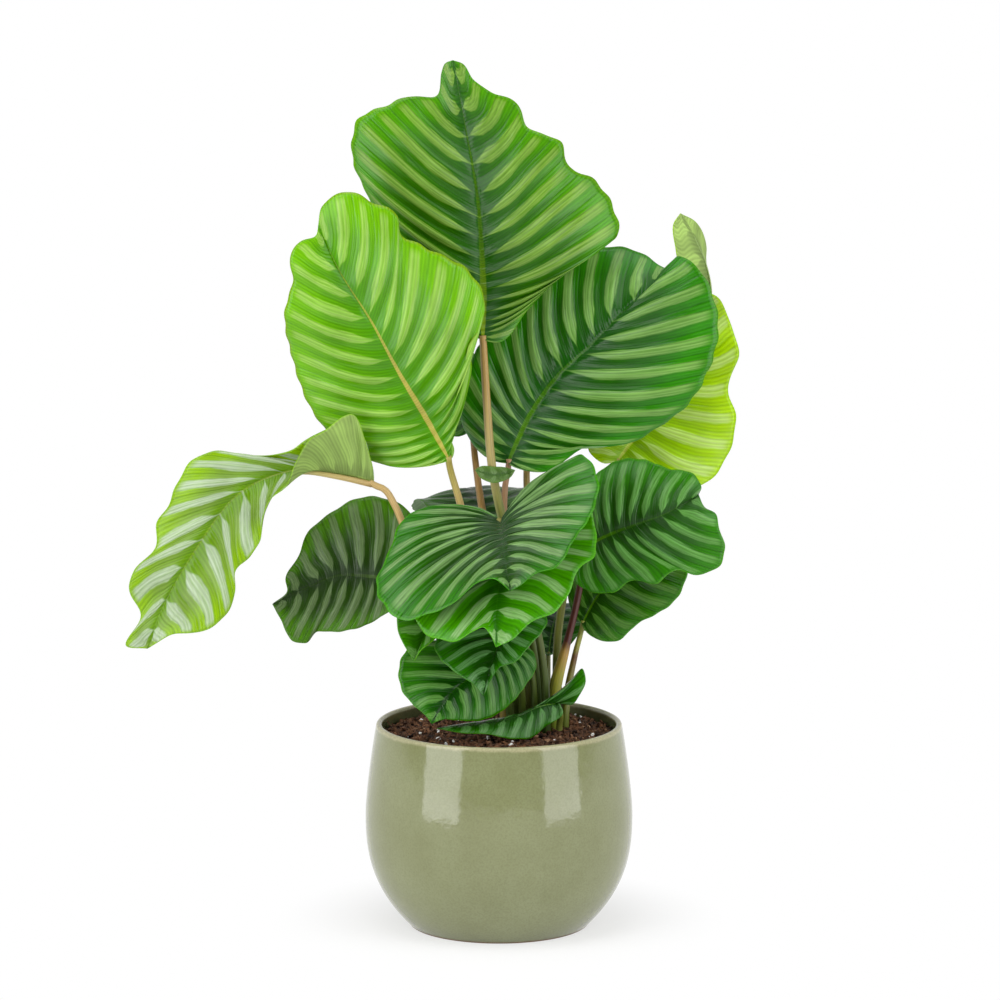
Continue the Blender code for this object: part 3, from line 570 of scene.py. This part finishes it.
def glaze_material():
    """Sage reactive glaze on stoneware: glassy, a little cloudy, thin and pale where it runs off
    the lip, its pale band partly a painted highlight, and wiped off the foot. The glass gives clear
    reflections, a little soft at the edge.
    """
    mat, tree, shader = new_material("sage_glaze")
    where = add(tree, "TexCoord").outputs["Object"]
    height = add(tree, "SeparateXYZ", {0: where}).outputs["Z"]
    cloud = add(tree, "TexNoise", {"Vector": where, "Scale": GLAZE_CLOUDS,
                                   "Detail": 3.0, "Roughness": 0.55}).outputs["Fac"]
    run_at = add(tree, "Mapping", {"Vector": where, "Scale": GLAZE_RUNS}).outputs[0]
    run = add(tree, "TexNoise", {"Vector": run_at, "Scale": 1.0, "Detail": 1.0}).outputs["Fac"]
    edge_at = add(tree, "Math", {0: run, 1: LIP_WANDER * MM, 2: height},
                  operation="MULTIPLY_ADD").outputs[0]
    speck = add(tree, "TexNoise", {"Vector": where, "Scale": GLAZE_SPECKS,
                                   "Detail": 2.0}).outputs["Fac"]
    peel = add(tree, "TexNoise", {"Vector": where, "Scale": GLAZE_PEEL,
                                  "Detail": 3.0}).outputs["Fac"]
    thins, thinnest = ((POT_HEIGHT - below) * MM for below in LIP_BAND)
    starts, whole = (above * MM for above in BARE_FOOT)
    cloudy = add(tree, "MapRange", {"Value": cloud, "From Min": 0.32, "From Max": 0.70}).outputs[0]
    # the pale lip band: thin glaze, and in part a painted highlight along the lip
    thin = add(tree, "MapRange", {"Value": edge_at, "From Min": thins, "From Max": thinnest,
                                  "To Max": 0.75}, interpolation_type="SMOOTHSTEP").outputs[0]
    bare = add(tree, "MapRange", {"Value": height, "From Min": starts, "From Max": whole,
                                  "To Min": 1.0, "To Max": 0.0}).outputs[0]
    specked = add(tree, "MapRange", {"Value": speck, "From Min": 0.40, "From Max": 0.70,
                                     "To Max": 0.35}).outputs[0]
    tint = colour("7c8058")
    # b4ae8a at the lip is thin glaze, lightened in part as a painted highlight
    for amount, over in ((cloudy, "848962"), (thin, "b4ae8a"), (bare, "7a5c40"),
                         (specked, "686a46")):
        tint = add(tree, "Mix", {0: amount, 6: tint, 7: colour(over)}, data_type="RGBA").outputs[2]
    dress(tree, shader, tint, peel, 0.75, 0.0003)
    matt = add(tree, "MapRange", {"Value": bare, "To Min": 0.10, "To Max": 0.8}).outputs[0]
    tree.links.new(matt, shader.inputs["Roughness"])
    shader.inputs["IOR"].default_value = 1.60
    return mat


def crumb_material(name, dark, pale, grain, roughness):
    """Peat, bark, coco or perlite: dull and pitted, mottled from dark to pale.

    Rough enough to give no shine; grain is the number of mottles in a metre.
    """
    mat, tree, shader = new_material(name)
    where = add(tree, "TexCoord").outputs["Object"]
    patch = add(tree, "TexNoise", {"Vector": where, "Scale": grain, "Detail": 3.0}).outputs["Fac"]
    pits = add(tree, "TexNoise", {"Vector": where, "Scale": CRUMB_PITS,
                                  "Detail": 2.0}).outputs["Fac"]
    share = add(tree, "MapRange", {"Value": patch, "From Min": 0.34, "From Max": 0.66}).outputs[0]
    tone = add(tree, "Mix", {0: share, 6: colour(dark), 7: colour(pale)}, data_type="RGBA")
    dress(tree, shader, tone.outputs[2], pits, 0.7, 0.0005)
    shader.inputs["Roughness"].default_value = roughness
    return mat


# ---------------- shapes

def along(points, share):
    """A point on the smooth curve through the points, by its share of the way from the first."""
    spans = [(b - a).length for a, b in zip(points, points[1:])]
    way = share * sum(spans)
    i = 0
    while i < len(spans) - 1 and way > spans[i]:
        way -= spans[i]
        i += 1
    t = min(max(way / spans[i], 0.0), 1.0)
    start, end = points[i], points[i + 1]
    out = slope(points, spans, i) * spans[i]
    back = slope(points, spans, i + 1) * spans[i]
    t2, t3 = t * t, t * t * t
    return (start * (2 * t3 - 3 * t2 + 1) + out * (t3 - 2 * t2 + t)
            + end * (3 * t2 - 2 * t3) + back * (t3 - t2))


def slope(points, spans, i):
    """The curve's direction at point i, for a unit of length."""
    if i == 0:
        return (points[1] - points[0]) / spans[0]
    if i == len(points) - 1:
        return (points[-1] - points[-2]) / spans[-1]
    before = (points[i] - points[i - 1]) / spans[i - 1]
    after = (points[i + 1] - points[i]) / spans[i]
    return (before * spans[i] + after * spans[i - 1]) / (spans[i] + spans[i - 1])


def leaf_curves(leaf):
    """The midrib and both margins from base to tip, as vectors."""
    base, tip = leaf["rib"][0], leaf["rib"][-1]
    curves = {side: [vec(p) for p in (base, *leaf[side], tip)] for side in ("left", "right")}
    curves["rib"] = [vec(p) for p in leaf["rib"]]
    return curves


def vein_line(leaf, curves, u):
    """What a vein needs: where it leaves the midrib, its two ends, and the directions there."""
    rib = curves["rib"]
    share = u ** leaf["lag"]
    root = along(rib, share)
    ahead = along(rib, min(share + RIB_STEP, 1.0)) - along(rib, max(share - RIB_STEP, 0.0))
    ahead.normalize()
    ends = {1: along(curves["right"], u), -1: along(curves["left"], u)}
    face = (ends[1] - ends[-1]).cross(ahead).normalized()
    return root, ends, ahead, face


def blade_point(leaf, line, v):
    """A vein's point at v, from -1 at the left margin to 1 at the right, and its half's reach."""
    root, ends, ahead, face = line
    out = abs(v)
    reach = ends[1 if v >= 0 else -1] - root
    bend = root + reach / 2 - ahead * leaf["bow"] * reach.length
    point = root * (1 - out) ** 2 + bend * 2 * out * (1 - out) + (root + reach) * out ** 2
    return point + face * leaf["dome"] * reach.length * math.sin(math.pi * out), reach


def new_object(name, bm, mats):
    """An object in the scene with this mesh and these materials."""
    mesh = bpy.data.meshes.new(name)
    bm.to_mesh(mesh)
    bm.free()
    for mat in mats:
        mesh.materials.append(mat)
    made = bpy.data.objects.new(name, mesh)
    bpy.context.scene.collection.objects.link(made)
    return made


def finish_piece(name, bm, mats, node):
    """A smooth piece that rides on the plant and, where a node is given, stands for it."""
    piece = new_object(name, bm, mats)
    piece.data.shade_smooth()
    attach(piece, "root")
    if node:
        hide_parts(node)
    return piece


def gridded(columns, rows):
    """A flat grid over -1 to 1 whose own place is kept as its UV map, from 0 to 1."""
    bm = bmesh.new()
    bmesh.ops.create_grid(bm, x_segments=columns, y_segments=rows, size=1.0)
    uv = bm.loops.layers.uv.new("veins")
    for face in bm.faces:
        for loop in face.loops:
            loop[uv].uv = ((loop.vert.co.x + 1) / 2, (loop.vert.co.y + 1) / 2)
    return bm


def shape_blade(leaf, look, seed):
    """A blade as a sheet: pleated along its stripes, grooved at the midrib, wavy at the margin."""
    curves = leaf_curves(leaf)
    stripes = look["stripes"]
    bm = gridded(COLUMNS, ROWS_PER_STRIPE * stripes)
    lines = {}
    for vert in bm.verts:
        u, v = (vert.co.y + 1) / 2, vert.co.x
        key = round(u, 5)
        if key not in lines:
            lines[key] = vein_line(leaf, curves, u)
        line = lines[key]
        face = line[3]
        out = abs(v)
        point, reach = blade_point(leaf, line, v)
        side = 1 if v >= 0 else -1
        fold = -math.cos(2 * math.pi * stripes * u)
        body = math.sin(math.pi * min(out * PLEAT_SPREAD, 1.0)) ** 0.7
        pleat = PLEAT * fold * body
        ruffle = RUFFLE * out ** 3 * math.sin(2 * math.pi * RUFFLE_WAVES * u + seed + side)
        groove = -GROOVE * max(0.0, 1 - out / GROOVE_WIDTH)
        point += face * reach.length * (pleat + ruffle + groove)
        point += reach * SCALLOP * fold * out ** 6
        vert.co = point
    bmesh.ops.remove_doubles(bm, verts=bm.verts, dist=MERGE * MM)
    return bm


def thicken(piece):
    """Gives a blade its thickness, and its underside the second material."""
    sheet = piece.modifiers.new("sheet", "SOLIDIFY")
    sheet.thickness = BLADE_THICKNESS * MM
    sheet.offset = 0.0
    sheet.material_offset = 1


def build_blade(leaf, look, seed):
    """A leaf's blade, its underside paler than its top."""
    name = leaf["name"]
    bm = shape_blade(leaf, look, seed)
    top = blade_material(name + "_blade_top", look, seed)
    tint = look["under"]
    pale = dict(look, ground=tint, fringe=tint, deep=scaled(tint, 0.80), stripe=scaled(tint, 1.12),
                rib=scaled(tint, 1.15))
    under = blade_material(name + "_blade_under", pale, seed, under=True)
    thicken(finish_piece(name + "_blade", bm, (top, under), name + "_leaf"))


def scaled(text, share):
    """A hex colour with each part scaled."""
    parts = [min(255, round(int(text[i:i + 2], 16) * share)) for i in (0, 2, 4)]
    return "".join(f"{part:02x}" for part in parts)


def stalk_course(leaf):
    """The stalk's way from the mix to the underside of the blade's base."""
    x, y = leaf["stalk"][0]
    foot = vec((x, y, MIX_TOP - STALK_SINK))
    base = vec(leaf["rib"][0])
    course = [foot, foot + vec((0, 0, STALK_RISE))] + [vec(p) for p in leaf["stalk"][1:]]
    curves = leaf_curves(leaf)
    at = blade_point(leaf, vein_line(leaf, curves, FIRST_VEIN), 0.0)[0]
    near = vein_line(leaf, curves, BASE_VEIN)
    across = blade_point(leaf, near, BASE_REACH)[0] - blade_point(leaf, near, -BASE_REACH)[0]
    face = across.cross(blade_point(leaf, vein_line(leaf, curves, 2 * BASE_VEIN), 0.0)[0] - at)
    face.normalize()
    way = (base - course[-1]).normalized()
    brow = (face - way * way.dot(face)).normalized() * STALK_TIP_RADIUS * MM
    course.append(at - face * BLADE_THICKNESS / 2 * MM - brow)
    course.append(course[-1] + way * STALK_END[0] * MM + face * STALK_END[1] * MM)
    return course


def tube(course, radii, sides=TUBE_SIDES, rows=TUBE_ROWS, ridges=RIDGES, depth=RIDGE_DEPTH):
    """A closed ribbed tube along a course, its radius running through the radii."""
    bm = gridded(sides, rows)
    rings = {}
    for vert in bm.verts:
        share = (vert.co.y + 1) / 2
        key = round(share, 5)
        if key not in rings:
            before, after = max(share - TUBE_STEP, 0.0), min(share + TUBE_STEP, 1.0)
            ahead = along(course, after) - along(course, before)
            aside = ahead.cross(Vector((0.0, 1.0, 0.0))).normalized()
            # just short of the last radius, so that there is always a next one
            step = min(share * (len(radii) - 1), len(radii) - 1.0001)
            low = int(step)
            radius = (radii[low] + (radii[low + 1] - radii[low]) * (step % 1)) * MM
            rings[key] = along(course, share), aside, aside.cross(ahead).normalized(), radius
        middle, aside, front, radius = rings[key]
        turn = math.pi * vert.co.x
        radius *= 1 + depth * math.cos(ridges * turn)
        vert.co = middle + (aside * math.cos(turn) + front * math.sin(turn)) * radius
    bmesh.ops.remove_doubles(bm, verts=bm.verts, dist=MERGE * MM)
    bmesh.ops.holes_fill(bm, edges=[e for e in bm.edges if e.is_boundary])
    bmesh.ops.recalc_face_normals(bm, faces=bm.faces)
    return bm


def build_stalk(leaf, look, seed):
    """A leaf's stalk, from the mix to its blade."""
    name = leaf["name"]
    bm = tube(stalk_course(leaf), [*leaf["thick"], leaf["thick"][-1] * STALK_TIP_SHARE])
    mat = stalk_material(name + "_stalk_skin", look["stalk"], seed)
    finish_piece(name + "_petiole", bm, (mat,), name + "_stalk")


def build_midrib(leaf, look, seed):
    """The midrib stands out under the blade and thins towards the tip."""
    name = leaf["name"]
    curves = leaf_curves(leaf)
    stout = leaf["thick"][-1] * STALK_TIP_SHARE
    course = []
    for k in range(MIDRIB_POINTS):
        u = (MIDRIB_REACH * k / (MIDRIB_POINTS - 1)) ** (1 / leaf["lag"])
        line = vein_line(leaf, curves, max(u, FIRST_VEIN))
        middle, reach = blade_point(leaf, line, 0.0)
        stoutness = stout * (1 - (1 - MIDRIB_TAPER[-1]) * k / (MIDRIB_POINTS - 1))
        course.append(middle - line[3] * (GROOVE * reach.length + stoutness * MM))
    radii = [stout * share for share in MIDRIB_TAPER]
    bm = tube(course, radii, sides=MIDRIB_SIDES, rows=MIDRIB_ROWS, ridges=0, depth=0.0)
    colours = ((0.0, look["stalk"][-1][1]), (0.35, look["rib"]), (0.9, look["under"]))
    mat = stalk_material(name + "_midrib_skin", colours, seed)
    finish_piece(name + "_midrib", bm, (mat,), None)


def build_ear():
    """The small curled lobe at the upper right blade's base, in front of the tallest stalk."""
    look = dict(LOOKS["upper_right"], ground="48662e", fringe="5c7c3a", deep="3a5826",
                stripe="64804c", stripes=4)
    bm = shape_blade(EAR, look, EAR_RUFFLE)
    top = blade_material("ear_top", look, EAR_PATTERN)
    under = blade_material("ear_under", dict(look, ground="4f7038"), EAR_PATTERN, under=True)
    piece = finish_piece("upper_right_ear", bm, (top, under), None)
    thicken(piece)


def wall_radius(height, inset=0.0):
    """Outer radius of the pot's wall at a height, less an inset."""
    if height > BELLY_HEIGHT:
        rise = (height - BELLY_HEIGHT) / (POT_HEIGHT - BELLY_HEIGHT)
        return BELLY_RADIUS - (BELLY_RADIUS - RIM_RADIUS) * rise ** SHOULDER_CURVE - inset
    drop = (BELLY_HEIGHT - height) / (BELLY_HEIGHT - FOOT_RING)
    return BELLY_RADIUS - (BELLY_RADIUS - HIP_RADIUS) * drop ** HIP_CURVE - inset


def build_pot():
    """The pot, turned about Z from one profile: inside, over the round lip, outside, foot."""
    lip = WALL / 2
    crown = POT_HEIGHT - lip
    middle = wall_radius(crown) - lip
    turns = [math.pi * k / LIP_STEPS for k in range(LIP_STEPS, -1, -1)]
    lip_arc = [(middle + lip * math.cos(a), crown + lip * math.sin(a)) for a in turns]
    shares = [(1 - math.cos(math.pi * k / WALL_STEPS)) / 2 for k in range(1, WALL_STEPS)]
    heights = [FOOT_RING + (crown - FOOT_RING) * share for share in shares]
    outside = [(wall_radius(h), h) for h in reversed(heights)]
    inside = [(wall_radius(h, WALL), h) for h in heights if h > FLOOR + WALL]
    corner = wall_radius(FLOOR + WALL, WALL) - FLOOR_CORNER
    ring = [(FOOT_RADIUS + past, height) for past, height in FOOT_CORNER]
    foot = [(HIP_RADIUS, FOOT_RING), *ring, (0.0, 0.0)]
    profile = [(0.0, FLOOR), (corner, FLOOR), *inside, *lip_arc, *outside, *foot]
    bm = bmesh.new()
    verts = [bm.verts.new((radius * MM, 0.0, height * MM)) for radius, height in profile]
    edges = [bm.edges.new(pair) for pair in zip(verts, verts[1:])]
    bmesh.ops.spin(bm, geom=verts + edges, cent=(0, 0, 0), axis=(0, 0, 1), angle=2 * math.pi,
                   steps=POT_STEPS, use_merge=True)
    bmesh.ops.remove_doubles(bm, verts=bm.verts, dist=MERGE / 2 * MM)
    bmesh.ops.recalc_face_normals(bm, faces=bm.faces)
    finish_piece("glazed_pot", bm, (glaze_material(),), "pot")


def scatter(name, mat, count, longest, shape, lift, seed):
    """Crumbs of one kind, strewn over the top of the mix: each a small jagged pebble.

    shape: its three sizes as shares of the longest; lift: how far above the mix it may lie.
    """
    chance = random.Random(seed)
    bm = bmesh.new()
    for _ in range(count):
        spread = MIX_RADIUS * math.sqrt(chance.random())
        bearing = 2 * math.pi * chance.random()
        size = longest * chance.uniform(*CRUMB_SIZES)
        at = Vector((spread * math.cos(bearing), spread * math.sin(bearing),
                     MIX_TOP + chance.uniform(-CRUMB_SINK, lift)))
        turn = Euler((chance.gauss(0, CRUMB_TILT), chance.gauss(0, CRUMB_TILT),
                      chance.uniform(0, CRUMB_TURN))).to_matrix().to_4x4()
        sizes = [size * share * chance.uniform(*CRUMB_SHAPES) / 2 for share in shape]
        scale = Matrix.Diagonal(sizes).to_4x4()
        middle = at * MM
        place = Matrix.Translation(middle) @ turn @ scale @ Matrix.Scale(MM, 4)
        made = bmesh.ops.create_icosphere(bm, subdivisions=1, radius=1.0, matrix=place)
        for vert in made["verts"]:
            vert.co = middle + (vert.co - middle) * chance.uniform(*CRUMB_JAGS)
    piece = finish_piece(name, bm, (mat,), None)
    piece.data.shade_flat()


def build_mix():
    """The mix keeps its CAD block, in peat, under bark, coco chips and perlite."""
    peat = crumb_material("moist_peat", "1c0f0a", "38201a", grain=180.0, roughness=0.95)
    bark = crumb_material("pine_bark_fines", "2e1b10", "7c5234", grain=120.0, roughness=0.8)
    chip = crumb_material("coco_chips", "7c543a", "b8926e", grain=150.0, roughness=0.85)
    grit = crumb_material("perlite_grains", "f4f2ee", "ffffff", grain=300.0, roughness=0.9)
    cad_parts["potting_mix"].material_slots[0].material = peat
    scatter("bark_fines", bark, 2000, longest=12.0, shape=(1.0, 0.42, 0.36), lift=2.4, seed=11)
    scatter("bark_fibres", bark, 520, longest=17.0, shape=(1.0, 0.16, 0.14), lift=3.4, seed=12)
    scatter("coco_chips", chip, 170, longest=9.0, shape=(1.0, 0.45, 0.3), lift=3.4, seed=13)
    scatter("perlite", grit, 72, longest=6.4, shape=(1.0, 0.9, 0.8), lift=4.6, seed=14)


# ---------------- setting

def add_lamp(name, place, size, power):
    """A softbox aimed at the middle of the plant."""
    data = bpy.data.lights.new(name, "AREA")
    data.shape = "RECTANGLE"
    data.size, data.size_y = size
    data.energy = power
    lamp = bpy.data.objects.new(name, data)
    lamp.location = place
    lamp.rotation_euler = (Vector(LAMP_AIM) - lamp.location).to_track_quat("-Z", "Y").to_euler()
    bpy.context.scene.collection.objects.link(lamp)


def build_room(scene):
    """White to the camera; to reflections a dim front and a bright back; a soft fill elsewhere."""
    world = bpy.data.worlds.new("studio")
    scene.world = world
    world.use_nodes = True
    tree = world.node_tree
    tree.nodes.clear()
    ahead = add(tree, "SeparateXYZ", {0: add(tree, "TexCoord").outputs["Generated"]}).outputs["Y"]
    behind = add(tree, "MapRange", {"Value": ahead, "From Min": -0.15, "From Max": 0.35,
                                    "To Min": 0.10, "To Max": 0.75}).outputs[0]
    path = add(tree, "LightPath").outputs
    level = add(tree, "Mix", {0: path["Is Glossy Ray"], 2: 0.36, 3: behind})
    room = add(tree, "Background", {"Color": (1, 1, 1, 1), "Strength": level.outputs[0]})
    white = add(tree, "Background", {"Color": (1, 1, 1, 1), "Strength": 1.0})
    seen = add(tree, "Math", {0: path["Is Camera Ray"], 1: path["Is Transmission Ray"]},
               operation="MAXIMUM")
    mixed = add(tree, "MixShader", {0: seen.outputs[0], 1: room.outputs[0], 2: white.outputs[0]})
    add(tree, "OutputWorld", {"Surface": mixed.outputs[0]})


def sweep_material():
    """Matt white studio paper: it takes the pot's shadow, and away from it is lit to pure white."""
    mat = bpy.data.materials.new("paper_sweep")
    mat.use_nodes = True
    tree = mat.node_tree
    tree.nodes.clear()
    paper = add(tree, "BsdfDiffuse", {"Color": colour("f4f4f4")})
    glow = add(tree, "Emission", {"Color": (1, 1, 1, 1), "Strength": 1.0})
    where = add(tree, "TexCoord").outputs["Object"]
    away = add(tree, "VectorMath", {0: where}, operation="LENGTH").outputs["Value"]
    near, beyond = FLOOR_WHITE
    far = add(tree, "MapRange", {"Value": away, "From Min": near, "From Max": beyond,
                                 "To Min": 0.62, "To Max": 1.0},
              interpolation_type="SMOOTHSTEP").outputs[0]
    path = add(tree, "LightPath").outputs
    seen = add(tree, "Math", {0: path["Is Camera Ray"], 1: path["Is Glossy Ray"]},
               operation="MAXIMUM").outputs[0]
    share = add(tree, "Math", {0: seen, 1: far}, operation="MULTIPLY")
    mixed = add(tree, "MixShader", {0: share.outputs[0], 1: paper.outputs[0], 2: glow.outputs[0]})
    add(tree, "OutputMaterial", {"Surface": mixed.outputs[0]})
    return mat


def build_floor():
    """The sweep, as a wide flat floor."""
    bm = bmesh.new()
    bmesh.ops.create_grid(bm, x_segments=2, y_segments=2, size=FLOOR_SIZE)
    floor = new_object("floor", bm, (sweep_material(),))


def build_camera(scene):
    """A long lens, level from side to side, looking a little down on the plant."""
    data = bpy.data.cameras.new("camera")
    data.sensor_width = 36.0
    data.lens = CAMERA_LENS
    data.clip_end = 100.0
    camera = bpy.data.objects.new("camera", data)
    camera.location = CAMERA_PLACE
    camera.rotation_euler = (math.radians(90 - CAMERA_DIP), 0.0, 0.0)
    scene.collection.objects.link(camera)
    scene.camera = camera


def build_setting():
    """Room, floor, camera and lamps: two upright softboxes in front, one overhead."""
    scene = bpy.context.scene
    scene.view_settings.view_transform = "Standard"
    build_room(scene)
    build_floor()
    add_lamp("softbox_left", (-0.92, -0.78, 0.80), SOFTBOX, 14.0)
    add_lamp("softbox_right", (0.98, -0.68, 0.80), SOFTBOX, 12.2)
    add_lamp("softbox_top", (-0.20, -0.30, 2.30), (1.40, 1.40), 16.0)
    build_camera(scene)


build_setting()
build_pot()
build_mix()
for number, leaf in enumerate(LEAVES):
    look = LOOKS[leaf["name"]]
    blade_at, stalk_at, midrib_at = (step * number for step in PATTERN_STEPS)
    build_blade(leaf, look, blade_at)
    build_stalk(leaf, look, stalk_at)
    build_midrib(leaf, look, midrib_at)
build_ear()
